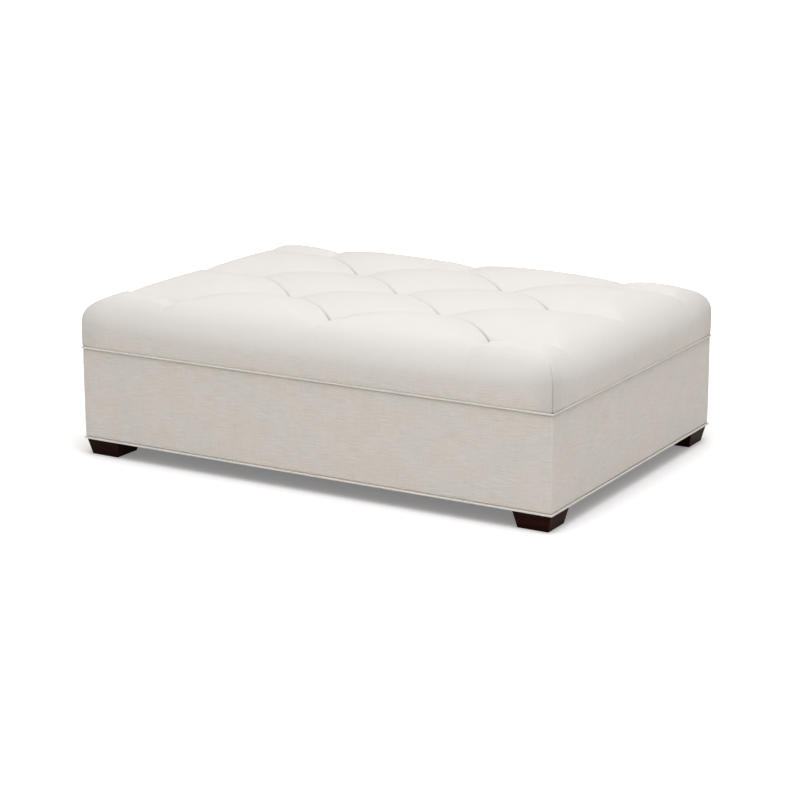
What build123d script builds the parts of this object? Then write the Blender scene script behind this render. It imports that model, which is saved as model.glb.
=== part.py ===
from build123d import *

import os
from math import radians, sin, sqrt, tan

# A tufted ottoman coffee table. A fabric-covered box stands on four block feet and carries a
# deep cushion that is sewn down at thirteen places. The origin is on the floor under the middle
# of the box, X runs along the length, the long front faces -Y and Z is up, in millimetres.

# Overall sizes, over the welts that stand proud of the box all round
overall_length = 1321.0
overall_depth = 914.0
overall_height = 432.0

# Feet, tapered hardwood blocks set in from the welt's outer line
foot_height = 43.0
foot_bottom_width = 79.0
foot_top_width = 98.0
foot_inset = 15.6
foot_edge_chamfer = 1.2
foot_bolt_diameter = 8.0
foot_bolt_grip = 28.0
foot_bolt_end_chamfer = 0.8
bolt_stick_out = 3.0
nut_barrel_diameter = 10.0
nut_barrel_length = 12.0
nut_flange_diameter = 20.0
nut_flange_thickness = 1.5

# Cloth and padding of the box
dust_cover_thickness = 1.0
dust_cover_inset = 14.0
side_cover_inset = 3.7
side_cover_thickness = 1.5
side_batting_thickness = 5.0

# Welts, a cord in a fabric tube with a stapled flange
welt_diameter = 5.0
welt_cord_diameter = 4.0
welt_inner_bend = 0.5
welt_flange_width = 20.0
welt_flange_thickness = 1.0

# Wooden frame of the box
frame_height = 234.5
apron_thickness = 18.0
foot_plate_leg = 100.0
foot_plate_corner_cut = 45.0
foot_plate_thickness = 18.0
block_to_nut_gap = 2.0
cross_rail_width = 22.0
cross_rail_height = 70.0
stretcher_width = 70.0
stretcher_thickness = 18.0

# Countersunk wood screws of the frame
screw_diameter = 4.5
screw_head_diameter = 8.5
screw_length = 38.0
screw_point_length = 4.0
screw_hole_clearance = 0.1
screws_per_corner = 3
corner_screw_margin = 32.0
block_screw_margin = 62.0
rail_screw_pitch = 32.0
stretcher_screw_pitch = 40.0

# Steel angles that hold the cushion's deck down on the frame
bracket_leg = 30.0
bracket_width = 20.0
bracket_thickness = 2.5
bracket_hole_reach = 19.0
bracket_screw_diameter = 4.0
bracket_screw_length = 12.0
bracket_screw_head_diameter = 8.0
bracket_screw_head_height = 2.2

# Cushion, a foam block on a plywood deck inside a quilted cover
cushion_inset = 1.7
cushion_cover_thickness = 2.0
cushion_lip_width = 24.0
cushion_batting_thickness = 10.0
deck_thickness = 15.0
shoulder_height = 62.5
shoulder_radius = 60.0
shoulder_slope = 22.7

# Tufts in rows of three and two, and the puffs of fabric between them
tuft_pitch_x = 215.5
tuft_pitch_y = 161.0
puff_drop = 45.0
edge_puff_drop = 44.0
front_puff_shift = 100.0
side_puff_shift = 150.0
corner_puff_drop = 40.0
tuft_pocket_depth = 6.0
tuft_pocket_floor_radius = 5.0
tuft_pocket_flare = 12.0
twine_diameter = 2.5
twine_hole_diameter = 6.0
knot_diameter = 6.0
washer_diameter = 22.0
washer_thickness = 2.5

# Levels, from the floor up
dust_cover_top = foot_height + dust_cover_thickness
frame_bottom = dust_cover_top + welt_flange_thickness
frame_top = frame_bottom + frame_height
foot_plate_top = frame_bottom + foot_plate_thickness
cushion_bottom = frame_top + welt_flange_thickness
deck_bottom = cushion_bottom + cushion_cover_thickness
deck_top = deck_bottom + deck_thickness
lower_welt_level = frame_bottom - welt_flange_thickness / 2
upper_welt_level = cushion_bottom - welt_diameter / 2
shoulder_level = cushion_bottom + shoulder_height
seam_level = overall_height - puff_drop
pocket_level = seam_level - tuft_pocket_depth

# Places across the box, from its middle
welt_corner_radius = welt_diameter / 2 + welt_inner_bend
half_length = overall_length / 2
half_depth = overall_depth / 2
frame_inset = side_cover_inset + side_cover_thickness + side_batting_thickness
frame_length = overall_length - 2 * frame_inset
frame_depth = overall_depth - 2 * frame_inset
inner_length = frame_length - 2 * apron_thickness
inner_depth = frame_depth - 2 * apron_thickness
foot_x = half_length - foot_inset - foot_bottom_width / 2
foot_y = half_depth - foot_inset - foot_bottom_width / 2
bolt_to_apron = inner_length / 2 - foot_x
nut_room = nut_flange_diameter / 2 + block_to_nut_gap
corner_block_leg = 2 * bolt_to_apron - sqrt(2) * nut_room
cushion_half_length = half_length - cushion_inset
cushion_half_depth = half_depth - cushion_inset
cross_rail_x = 1.5 * tuft_pitch_x

sides = {"left": -1, "right": 1}
faces = {"front": -1, "back": 1}


def save(part, name):
    """Name a finished piece and write it to its own file."""
    part.label = name
    export_step(part, f"parts/{name}.step")


def facing(x, y, level, outward):
    """Return a place on an upright face, its axis pointing outwards."""
    return Plane((x, y, level), z_dir=outward).location


def evenly(first, last, count):
    """Return evenly spaced values from first to last."""
    return [first + (last - first) * step / (count - 1) for step in range(count)]


# Tuft places, five rows of three and two from front to back
tufts = [
    (column * tuft_pitch_x, row * tuft_pitch_y)
    for row in range(-2, 3)
    for column in range(-2, 3)
    if (row + column) % 2 == 0
]

# Screw places on the outer faces of the long aprons and of the short ones
rail_levels = [
    deck_bottom - cross_rail_height / 2 - rail_screw_pitch / 2,
    deck_bottom - cross_rail_height / 2 + rail_screw_pitch / 2,
]
corner_levels = evenly(
    frame_bottom + corner_screw_margin, frame_top - corner_screw_margin, screws_per_corner
)
block_levels = [frame_bottom + block_screw_margin, frame_top - block_screw_margin]


def long_apron_screws(face):
    """Return the screw places on the front or the back apron."""
    spots = []
    for side in sides.values():
        for level in corner_levels:
            spots.append((side * (frame_length - apron_thickness) / 2, level))
        for level in rail_levels:
            spots.append((side * cross_rail_x, level))
        for step in (-1, 1):
            place = side * cross_rail_x + step * stretcher_screw_pitch / 2
            spots.append((place, frame_bottom + stretcher_thickness / 2))
    return [facing(x, face * frame_depth / 2, level, (0, face, 0)) for x, level in spots]


def short_apron_screws(side):
    """Return the screw places on the left or the right apron."""
    block_y = inner_depth / 2 - corner_block_leg / 3
    return [
        facing(side * frame_length / 2, face * block_y, level, (side, 0, 0))
        for face in faces.values()
        for level in block_levels
    ]


screw_places = [place for face in faces.values() for place in long_apron_screws(face)]
screw_places += [place for side in sides.values() for place in short_apron_screws(side)]
screw_hole_radius = screw_diameter / 2 + screw_hole_clearance
screw_head_radius = screw_head_diameter / 2 + screw_hole_clearance

# Bracket places between the tufts' columns and rows, the local Y axis pointing into the box
bracket_places = [
    Location((step * tuft_pitch_x, face * inner_depth / 2, deck_bottom), (0, 0, 90 + 90 * face))
    for face in faces.values()
    for step in (-1, 1)
]
bracket_places += [
    Location((side * inner_length / 2, step * tuft_pitch_y, deck_bottom), (0, 0, 90 * side))
    for side in sides.values()
    for step in (-1, 1)
]

# Screw seats on a bracket, on its upright leg and on its flat leg, the axis towards the head
wall_spot = Location((0, bracket_thickness, -bracket_hole_reach), (-90, 0, 0))
deck_spot = Location((0, bracket_hole_reach, -bracket_thickness), (180, 0, 0))
wall_spots = [place * wall_spot for place in bracket_places]
deck_spots = [place * deck_spot for place in bracket_places]


def build_feet():
    """Make the four tapered feet, each bored for its bolt."""
    for face_name, face in faces.items():
        for side_name, side in sides.items():
            with BuildPart() as foot:
                with BuildSketch(Plane((side * foot_x, face * foot_y, 0))) as sole:
                    Rectangle(foot_bottom_width, foot_bottom_width)
                    chamfer(sole.vertices(), foot_edge_chamfer)
                with BuildSketch(Plane((side * foot_x, face * foot_y, foot_height))) as seat:
                    Rectangle(foot_top_width, foot_top_width)
                    chamfer(seat.vertices(), foot_edge_chamfer)
                loft(ruled=True)
                with Locations((side * foot_x, face * foot_y, foot_height)):
                    Hole(foot_bolt_diameter / 2, depth=foot_bolt_grip)
            save(foot.part, f"foot_{face_name}_{side_name}")


def build_foot_hardware():
    """Make the four bolts and the flanged nuts that they screw up into."""
    bolt_top = foot_plate_top + nut_flange_thickness + bolt_stick_out
    bolt_bottom = foot_height - foot_bolt_grip
    with BuildPart() as bolts:
        with Locations((0, 0, bolt_bottom)):
            with GridLocations(2 * foot_x, 2 * foot_y, 2, 2):
                Cylinder(
                    foot_bolt_diameter / 2,
                    bolt_top - bolt_bottom,
                    align=(Align.CENTER, Align.CENTER, Align.MIN),
                )
        chamfer(bolts.edges().filter_by(GeomType.CIRCLE), foot_bolt_end_chamfer)
    save(bolts.part, "foot_bolts")

    with BuildPart() as nuts:
        with BuildSketch(Plane.XY.offset(foot_plate_top)):
            with GridLocations(2 * foot_x, 2 * foot_y, 2, 2):
                Circle(nut_flange_diameter / 2)
        extrude(amount=nut_flange_thickness)
        with BuildSketch(Plane.XY.offset(foot_plate_top)):
            with GridLocations(2 * foot_x, 2 * foot_y, 2, 2):
                Circle(nut_barrel_diameter / 2)
        extrude(amount=-nut_barrel_length)
        with Locations((0, 0, foot_plate_top + nut_flange_thickness)):
            with GridLocations(2 * foot_x, 2 * foot_y, 2, 2):
                Hole(foot_bolt_diameter / 2)
    save(nuts.part, "foot_nuts")


def build_foot_plates():
    """Make the plywood plate over each foot, fitted into the frame's corner."""
    for face_name, face in faces.items():
        for side_name, side in sides.items():
            corner_x = side * inner_length / 2
            corner_y = face * inner_depth / 2
            end_x = corner_x - side * foot_plate_leg
            end_y = corner_y - face * foot_plate_leg
            with BuildPart() as plate:
                with BuildSketch(Plane.XY.offset(frame_bottom)):
                    with BuildLine():
                        Polyline(
                            (corner_x, corner_y),
                            (end_x, corner_y),
                            (end_x, corner_y - face * foot_plate_corner_cut),
                            (corner_x - side * foot_plate_corner_cut, end_y),
                            (corner_x, end_y),
                            close=True,
                        )
                    make_face()
                extrude(amount=foot_plate_thickness)
                with Locations((side * foot_x, face * foot_y, foot_plate_top)):
                    Hole(foot_bolt_diameter / 2)
                    Hole(nut_barrel_diameter / 2, depth=nut_barrel_length)
            save(plate.part, f"foot_plate_{face_name}_{side_name}")


def build_corner_blocks():
    """Make the three-sided glue block that stands in each corner of the frame."""
    for face_name, face in faces.items():
        for side_name, side in sides.items():
            corner_x = side * inner_length / 2
            corner_y = face * inner_depth / 2
            with BuildPart() as block:
                with BuildSketch(Plane.XY.offset(foot_plate_top)):
                    with BuildLine():
                        Polyline(
                            (corner_x, corner_y),
                            (corner_x - side * corner_block_leg, corner_y),
                            (corner_x, corner_y - face * corner_block_leg),
                            close=True,
                        )
                    make_face()
                extrude(amount=frame_top - foot_plate_top)
                with Locations(*short_apron_screws(side)):
                    Hole(screw_hole_radius, depth=screw_length)
            save(block.part, f"corner_block_{face_name}_{side_name}")


def build_aprons():
    """Make the four plywood walls of the box, drilled and countersunk."""
    sink = {"counter_sink_radius": screw_head_radius, "counter_sink_angle": 90}
    for name, face in faces.items():
        with BuildPart() as apron:
            with BuildSketch(Plane((0, face * (frame_depth - apron_thickness) / 2, frame_bottom))):
                Rectangle(frame_length, apron_thickness)
            extrude(amount=frame_height)
            with Locations(*long_apron_screws(face)):
                CounterSinkHole(screw_hole_radius, depth=screw_length, **sink)
            with Locations(*wall_spots):
                Hole(bracket_screw_diameter / 2, depth=bracket_screw_length)
        save(apron.part, f"{name}_apron")

    for name, side in sides.items():
        with BuildPart() as apron:
            with BuildSketch(Plane((side * (frame_length - apron_thickness) / 2, 0, frame_bottom))):
                Rectangle(apron_thickness, inner_depth)
            extrude(amount=frame_height)
            with Locations(*short_apron_screws(side)):
                CounterSinkHole(screw_hole_radius, depth=screw_length, **sink)
            with Locations(*screw_places):
                Hole(screw_hole_radius, depth=screw_length)
            with Locations(*wall_spots):
                Hole(bracket_screw_diameter / 2, depth=bracket_screw_length)
        save(apron.part, f"{name}_apron")


def build_rails():
    """Make the two rails under the deck and the two flat stretchers at the bottom."""
    for name, side in sides.items():
        with BuildPart() as rail:
            with BuildSketch(Plane((side * cross_rail_x, 0, deck_bottom))):
                Rectangle(cross_rail_width, inner_depth)
            extrude(amount=-cross_rail_height)
            with Locations(*screw_places):
                Hole(screw_hole_radius, depth=screw_length)
        save(rail.part, f"cross_rail_{name}")

        with BuildPart() as stretcher:
            with BuildSketch(Plane((side * cross_rail_x, 0, frame_bottom))):
                Rectangle(stretcher_width, inner_depth)
            extrude(amount=stretcher_thickness)
            with Locations(*screw_places):
                Hole(screw_hole_radius, depth=screw_length)
        save(stretcher.part, f"stretcher_{name}")


def build_screws():
    """Make every countersunk screw of the frame, as one group."""
    sink_depth = (screw_head_diameter - screw_diameter) / 2
    with BuildPart() as screw:
        with BuildSketch(Plane.XZ):
            with BuildLine():
                Polyline(
                    (0, 0),
                    (screw_head_diameter / 2, 0),
                    (screw_diameter / 2, -sink_depth),
                    (screw_diameter / 2, screw_point_length - screw_length),
                    (0, -screw_length),
                    close=True,
                )
            make_face()
        revolve(axis=Axis.Z)
    with BuildPart() as screws:
        with Locations(*screw_places):
            add(screw.part)
    save(screws.part, "frame_screws")


def build_brackets():
    """Make the steel angles under the deck, and the round-headed screws that hold them."""
    with BuildPart() as bracket:
        with BuildSketch(Plane.YZ):
            with BuildLine():
                Polyline(
                    (0, 0),
                    (bracket_leg, 0),
                    (bracket_leg, -bracket_thickness),
                    (bracket_thickness, -bracket_thickness),
                    (bracket_thickness, -bracket_leg),
                    (0, -bracket_leg),
                    close=True,
                )
            make_face()
        extrude(amount=bracket_width / 2, both=True)
        with Locations(wall_spot, deck_spot):
            Hole(bracket_screw_diameter / 2, depth=bracket_thickness)
    with BuildPart() as brackets:
        with Locations(*bracket_places):
            add(bracket.part)
    save(brackets.part, "deck_brackets")

    with BuildPart() as screw:
        Cylinder(
            bracket_screw_diameter / 2,
            bracket_screw_length,
            align=(Align.CENTER, Align.CENTER, Align.MAX),
        )
        Cylinder(
            bracket_screw_head_diameter / 2,
            bracket_screw_head_height,
            align=(Align.CENTER, Align.CENTER, Align.MIN),
        )
    with BuildPart() as screws:
        with Locations(*wall_spots, *deck_spots):
            add(screw.part)
    save(screws.part, "bracket_screws")


def crowned_outline(half_width, inset):
    """Return the cushion's cross-section, flat sides under rounded shoulders and a low crown.

    The whole line lies inset inside the cover's outer face, round the same centres.
    """
    run = half_width - shoulder_radius
    crown_radius = run / sin(radians(shoulder_slope)) + shoulder_radius
    crown_centre = shoulder_level - run / tan(radians(shoulder_slope))
    with BuildSketch() as outline:
        with BuildLine():
            side = Line((inset - half_width, cushion_bottom), (inset - half_width, shoulder_level))
            shoulder = CenterArc(
                (-run, shoulder_level), shoulder_radius - inset, 180, shoulder_slope - 90
            )
            crown = CenterArc(
                (0, crown_centre), crown_radius - inset, 90 + shoulder_slope, -2 * shoulder_slope
            )
            mirror(side, about=Plane.YZ)
            mirror(shoulder, about=Plane.YZ)
            Line(side @ 0, (half_width - inset, cushion_bottom))
        make_face()
    return outline.sketch


def puff(half_x, half_y, drop):
    """Return a dome that falls by drop at half_x along X and at half_y along Y.

    It is half an ellipse turned about the X axis, lowered to bring its top to the origin.
    """
    radius = (half_y**2 + drop**2) / (2 * drop)
    reach = half_x / sqrt(1 - (1 - drop / radius) ** 2)
    with BuildPart() as dome:
        with BuildSketch(Plane.XY):
            with BuildLine():
                rim = EllipticalCenterArc((0, 0), reach, radius, start_angle=0, arc_size=180)
                Line(rim @ 1, rim @ 0)
            make_face()
        revolve(axis=Axis.X)
    return dome.part.moved(Location((0, 0, -radius)))


def puffed_body():
    """Return the union of all the puffs, whose meeting lines are the pleats from tuft to tuft.

    Each edge puff is shifted outwards and passes through its three tufts. Each corner puff is
    centred between its tuft and the corner of the cushion.
    """
    middle_puff = puff(tuft_pitch_x, tuft_pitch_y, puff_drop)
    front_reach = tuft_pitch_y + front_puff_shift
    front_half_x = tuft_pitch_x / sqrt(1 - (front_puff_shift / front_reach) ** 2)
    front_puff = puff(front_half_x, front_reach, edge_puff_drop)
    side_reach = tuft_pitch_x + side_puff_shift
    side_half_y = tuft_pitch_y / sqrt(1 - (side_puff_shift / side_reach) ** 2)
    side_puff = puff(side_reach, side_half_y, edge_puff_drop)
    corner_run_x = (cushion_half_length - 2 * tuft_pitch_x) / 2
    corner_run_y = (cushion_half_depth - 2 * tuft_pitch_y) / 2
    corner_puff = puff(sqrt(2) * corner_run_x, sqrt(2) * corner_run_y, corner_puff_drop)
    corner_x = 2 * tuft_pitch_x + corner_run_x
    corner_y = 2 * tuft_pitch_y + corner_run_y
    edge_top = seam_level + edge_puff_drop
    corner_top = seam_level + corner_puff_drop
    middle_places = [(x, 0, overall_height) for x in (-tuft_pitch_x, tuft_pitch_x)]
    middle_places += [(0, y, overall_height) for y in (-tuft_pitch_y, tuft_pitch_y)]
    front_y = 2 * tuft_pitch_y + front_puff_shift
    side_x = 2 * tuft_pitch_x + side_puff_shift
    with BuildPart() as body:
        with Locations((0, 0, cushion_bottom - cushion_cover_thickness)):
            Box(
                overall_length,
                overall_depth,
                overall_height,
                align=(Align.CENTER, Align.CENTER, Align.MIN),
            )
        puffs = [middle_puff.moved(Location(place)) for place in middle_places]
        puffs += [
            front_puff.moved(Location((column * tuft_pitch_x, row * front_y, edge_top)))
            for row in (-1, 1)
            for column in (-1, 1)
        ]
        puffs += [
            side_puff.moved(Location((column * side_x, row * tuft_pitch_y, edge_top)))
            for row in (-1, 1)
            for column in (-1, 1)
        ]
        puffs += [
            corner_puff.moved(Location((column * corner_x, row * corner_y, corner_top)))
            for row in (-1, 1)
            for column in (-1, 1)
        ]
    block = body.part
    parts = [block & dome for dome in puffs]
    return parts[0].fuse(*parts[1:])


def cushion_form(puffs, inset, bottom):
    """Return the tufted form of the cushion, inset on its sides and lowered as much on top.

    Each tuft is a flared pocket, and the pocket grows with the inset, so that one layer of
    the cushion lies inside the next.
    """
    with BuildPart() as form:
        with BuildSketch(Plane.XZ):
            add(crowned_outline(cushion_half_length, inset))
        extrude(amount=half_depth, both=True)
        with BuildSketch(Plane.YZ):
            add(crowned_outline(cushion_half_depth, inset))
        extrude(amount=half_length, both=True, mode=Mode.INTERSECT)
        add(puffs.moved(Location((0, 0, -inset))), mode=Mode.INTERSECT)
        with Locations(*[(x, y, pocket_level - inset) for x, y in tufts]):
            Cone(
                tuft_pocket_floor_radius + inset,
                tuft_pocket_floor_radius + inset + tuft_pocket_flare,
                puff_drop,
                align=(Align.CENTER, Align.CENTER, Align.MIN),
                mode=Mode.SUBTRACT,
            )
        split(bisect_by=Plane.XY.offset(bottom), keep=Keep.TOP)
    return form.part


def build_cushion():
    """Make the cushion's cover, its batting and its foam, one inside the next, and the deck."""
    puffs = puffed_body()
    foam_inset = cushion_cover_thickness + cushion_batting_thickness
    outer_form = cushion_form(puffs, 0, cushion_bottom)
    lining = cushion_form(puffs, cushion_cover_thickness, deck_bottom)
    core = cushion_form(puffs, foam_inset, deck_bottom)
    lip_length = 2 * (cushion_half_length - cushion_lip_width)
    lip_depth = 2 * (cushion_half_depth - cushion_lip_width)

    with BuildPart() as cover:
        add(outer_form)
        add(lining, mode=Mode.SUBTRACT)
        with BuildSketch(Plane.XY.offset(cushion_bottom)):
            Rectangle(lip_length, lip_depth)
        extrude(amount=cushion_cover_thickness, mode=Mode.SUBTRACT)
    save(cover.part, "tufted_cover")

    with BuildPart() as batting:
        add(lining)
        add(core, mode=Mode.SUBTRACT)
        with Locations(*[(x, y, deck_top) for x, y in tufts]):
            Cylinder(
                twine_diameter / 2,
                overall_height,
                align=(Align.CENTER, Align.CENTER, Align.MIN),
                mode=Mode.SUBTRACT,
            )
    save(batting.part, "cushion_batting")

    with BuildPart() as foam:
        add(core)
        split(bisect_by=Plane.XY.offset(deck_top), keep=Keep.TOP)
        with Locations(*[(x, y, overall_height) for x, y in tufts]):
            Hole(twine_hole_diameter / 2, depth=overall_height)
    save(foam.part, "cushion_foam")

    with BuildPart() as deck:
        with BuildSketch(Plane.XY.offset(deck_bottom)):
            Rectangle(2 * (cushion_half_length - foam_inset), 2 * (cushion_half_depth - foam_inset))
        extrude(amount=deck_thickness)
        with Locations(*[(x, y, deck_top) for x, y in tufts]):
            Hole(twine_hole_diameter / 2, depth=deck_thickness)
        with Locations(*deck_spots):
            Hole(bracket_screw_diameter / 2, depth=bracket_screw_length)
    save(deck.part, "deck_board")


def build_tuft_ties():
    """Make the twines that pull the tufts down, and the washers that they are tied behind."""
    washer_bottom = deck_bottom - washer_thickness
    twine_bottom = washer_bottom - knot_diameter / 2
    twine_top = pocket_level - cushion_cover_thickness
    with BuildPart() as twines:
        with Locations(*[(x, y, twine_bottom) for x, y in tufts]):
            Cylinder(
                twine_diameter / 2,
                twine_top - twine_bottom,
                align=(Align.CENTER, Align.CENTER, Align.MIN),
            )
            Sphere(knot_diameter / 2)
    save(twines.part, "tuft_twines")

    with BuildPart() as washers:
        with Locations(*[(x, y, washer_bottom) for x, y in tufts]):
            Cylinder(
                washer_diameter / 2,
                washer_thickness,
                align=(Align.CENTER, Align.CENTER, Align.MIN),
            )
        with Locations(*[(x, y, deck_bottom) for x, y in tufts]):
            Hole(twine_diameter / 2, depth=washer_thickness)
    save(washers.part, "tuft_washers")


def welt_ring(level, diameter):
    """Return a round cord bent into a ring along the welt line at the given level."""
    half_x = half_length - welt_diameter / 2
    half_y = half_depth - welt_diameter / 2
    with BuildPart() as ring:
        with BuildLine():
            path = FilletPolyline(
                (half_x, -half_y, level),
                (half_x, half_y, level),
                (-half_x, half_y, level),
                (-half_x, -half_y, level),
                radius=welt_corner_radius,
                close=True,
            )
        with BuildSketch(Plane(path @ 0, z_dir=path % 0)):
            Circle(diameter / 2)
        sweep()
    return ring.part


def build_welts():
    """Make the two welts, each a fabric tube with its flange and a cord inside."""
    levels = {"lower": (lower_welt_level, frame_bottom - welt_flange_thickness)}
    levels["upper"] = (upper_welt_level, frame_top)
    for name, (level, flange_bottom) in levels.items():
        cord = welt_ring(level, welt_cord_diameter)
        save(cord, f"{name}_welt_cord")
        with BuildPart() as welt:
            add(welt_ring(level, welt_diameter))
            with BuildSketch(Plane.XY.offset(flange_bottom)):
                RectangleRounded(
                    overall_length - welt_diameter, overall_depth - welt_diameter, welt_corner_radius
                )
                Rectangle(
                    overall_length - 2 * welt_flange_width - welt_diameter,
                    overall_depth - 2 * welt_flange_width - welt_diameter,
                    mode=Mode.SUBTRACT,
                )
            extrude(amount=welt_flange_thickness)
            add(cord, mode=Mode.SUBTRACT)
        save(welt.part, f"{name}_welt")


def build_side_covers():
    """Make the fabric of the four sides of the box and the band of batting behind it."""
    cover_bottom = lower_welt_level + welt_diameter / 2
    cover_height = upper_welt_level - welt_diameter / 2 - cover_bottom
    cover_length = overall_length - 2 * side_cover_inset
    cover_depth = overall_depth - 2 * side_cover_inset
    for name, face in faces.items():
        cover_y = face * (cover_depth - side_cover_thickness) / 2
        with BuildPart() as cover:
            with BuildSketch(Plane((0, cover_y, cover_bottom))):
                Rectangle(cover_length, side_cover_thickness)
            extrude(amount=cover_height)
        save(cover.part, f"side_cover_{name}")
    for name, side in sides.items():
        cover_x = side * (cover_length - side_cover_thickness) / 2
        with BuildPart() as cover:
            with BuildSketch(Plane((cover_x, 0, cover_bottom))):
                Rectangle(side_cover_thickness, cover_depth - 2 * side_cover_thickness)
            extrude(amount=cover_height)
        save(cover.part, f"side_cover_{name}")

    with BuildPart() as batting:
        with BuildSketch(Plane.XY.offset(frame_bottom)):
            Rectangle(
                frame_length + 2 * side_batting_thickness, frame_depth + 2 * side_batting_thickness
            )
            Rectangle(frame_length, frame_depth, mode=Mode.SUBTRACT)
        extrude(amount=frame_height)
    save(batting.part, "side_batting")


def build_dust_cover():
    """Make the thin cloth that closes the box from below, pierced by the foot bolts."""
    with BuildPart() as cloth:
        with BuildSketch(Plane.XY.offset(foot_height)):
            Rectangle(overall_length - 2 * dust_cover_inset, overall_depth - 2 * dust_cover_inset)
            with GridLocations(2 * foot_x, 2 * foot_y, 2, 2):
                Circle(foot_bolt_diameter / 2, mode=Mode.SUBTRACT)
        extrude(amount=dust_cover_thickness)
    save(cloth.part, "dust_cover")


os.makedirs("parts", exist_ok=True)
build_feet()
build_foot_hardware()
build_foot_plates()
build_corner_blocks()
build_aprons()
build_rails()
build_screws()
build_brackets()
build_cushion()
build_tuft_ties()
build_welts()
build_side_covers()
build_dust_cover()
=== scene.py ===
"""A tufted ottoman coffee table in ivory linen, on four dark block feet.

The wooden frame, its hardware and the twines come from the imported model. This script makes the
cushion, the welts, the cloth of the box, the feet and the dust cover, and gives every piece its
finish. All lengths are in metres, with the origin on the floor under the middle of the table.
"""

import logging
import math
from dataclasses import dataclass, field
from enum import Enum
from typing import Optional, Sequence, Union

import bmesh
import bpy
from bmesh.types import BMEdge, BMesh, BMVert
from bpy.types import AreaLight, Camera, Material, Mesh, Node, NodeSocket, NodeTree, Object
from mathutils import Matrix, Vector, noise

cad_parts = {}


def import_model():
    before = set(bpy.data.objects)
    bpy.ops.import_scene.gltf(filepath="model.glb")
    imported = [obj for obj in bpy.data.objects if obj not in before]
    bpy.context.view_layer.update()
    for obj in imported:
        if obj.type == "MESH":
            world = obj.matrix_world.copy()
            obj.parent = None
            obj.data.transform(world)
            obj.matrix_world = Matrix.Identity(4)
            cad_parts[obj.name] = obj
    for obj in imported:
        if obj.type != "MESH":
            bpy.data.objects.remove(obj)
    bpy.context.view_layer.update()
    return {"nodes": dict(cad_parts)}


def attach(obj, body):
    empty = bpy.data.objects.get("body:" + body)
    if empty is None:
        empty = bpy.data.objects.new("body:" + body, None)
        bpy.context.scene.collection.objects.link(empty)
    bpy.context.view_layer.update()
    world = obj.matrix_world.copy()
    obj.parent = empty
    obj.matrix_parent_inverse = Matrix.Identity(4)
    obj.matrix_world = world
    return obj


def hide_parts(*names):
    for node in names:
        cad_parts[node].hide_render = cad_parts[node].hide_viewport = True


log = logging.getLogger("ottoman")

MM = 0.001
BODY = "root"
RIGHT_ANGLE = math.pi / 2

# Outer sizes over the welts
LENGTH = 1321 * MM
DEPTH = 914 * MM

# Where the feet's middles stand, to either side of the table's
FOOT_X = 605.4 * MM
FOOT_Y = 401.9 * MM

Colour = tuple[float, float, float, float]
Setting = Union[float, int, Sequence[float], NodeSocket]
# A pattern's socket, the factors that weaken it, and the hex colour that it lays on
Tone = tuple[NodeSocket, Sequence[Union[float, NodeSocket]], str]


def linear(code: str) -> Colour:
    """Turn an sRGB hex colour to linear light.

    Args:
        code: The colour as #RRGGBB.

    Returns:
        Red, green, blue and a full alpha, in linear light.
    """
    parts = [int(code[start:start + 2], 16) / 255 for start in (1, 3, 5)]
    red, green, blue = (
        part / 12.92 if part <= 0.04045 else ((part + 0.055) / 1.055) ** 2.4 for part in parts
    )
    return (red, green, blue, 1.0)


def add_node(
    tree: NodeTree,
    kind: str,
    inputs: Optional[dict[Union[str, int], Setting]] = None,
    **settings: object,
) -> Node:
    """Add a node with its settings and links.

    Args:
        tree: The tree that gets the node.
        kind: The node's type.
        inputs: A value or another node's output for each input, by name or number.
        settings: The node's own properties.

    Returns:
        The new node.
    """
    made = tree.nodes.new(kind)
    for name, value in settings.items():
        setattr(made, name, value)
    for name, value in (inputs or {}).items():
        if isinstance(value, NodeSocket):
            tree.links.new(value, made.inputs[name])
        else:
            made.inputs[name].default_value = value
    return made


class Axis(Enum):
    """An axis of the table, by its number."""

    X = 0
    Y = 1
    Z = 2


class Cut(Enum):
    """How a cloth is cut: along its threads, or at 45 degrees to them."""

    STRAIGHT = "straight"
    BIAS = "bias"


@dataclass(frozen=True)
class Grain:
    """A cloudy pattern whose grains have a real size along each axis.

    The raw noise becomes 0 at low and 1 at high. It has finer layers by its detail, and its warp
    is how far it bends itself.
    """

    size: Sequence[float]
    low: float
    high: float
    detail: float = 2.0
    warp: float = 0.0

    def draw(self, tree: NodeTree, place: NodeSocket) -> NodeSocket:
        """Add the pattern to a material.

        Args:
            tree: The material's tree.
            place: The coordinates, in metres.

        Returns:
            The pattern's socket, from 0 to 1.
        """
        scale = [1 / length for length in self.size]
        spread = add_node(tree, "ShaderNodeMapping", {"Vector": place, "Scale": scale}).outputs[0]
        inputs = {"Vector": spread, "Scale": 1.0, "Detail": self.detail, "Distortion": self.warp}
        raw = add_node(tree, "ShaderNodeTexNoise", inputs).outputs[0]
        limits = {"Value": raw, "From Min": self.low, "From Max": self.high}
        return add_node(tree, "ShaderNodeMapRange", limits).outputs[0]


@dataclass(frozen=True)
class Bands:
    """Even bands across an axis that repeat at a real pitch."""

    pitch: float
    across: Axis

    def draw(self, tree: NodeTree, place: NodeSocket) -> NodeSocket:
        """Add the pattern to a material.

        Args:
            tree: The material's tree.
            place: The coordinates, in metres.

        Returns:
            The pattern's socket, from 0 to 1.
        """
        # The wave texture repeats at each 2 pi / 20 of its scaled place
        inputs = {"Vector": place, "Scale": 2 * math.pi / (20 * self.pitch)}
        wave = add_node(tree, "ShaderNodeTexWave", inputs, bands_direction=self.across.name)
        return wave.outputs["Fac"]


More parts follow.
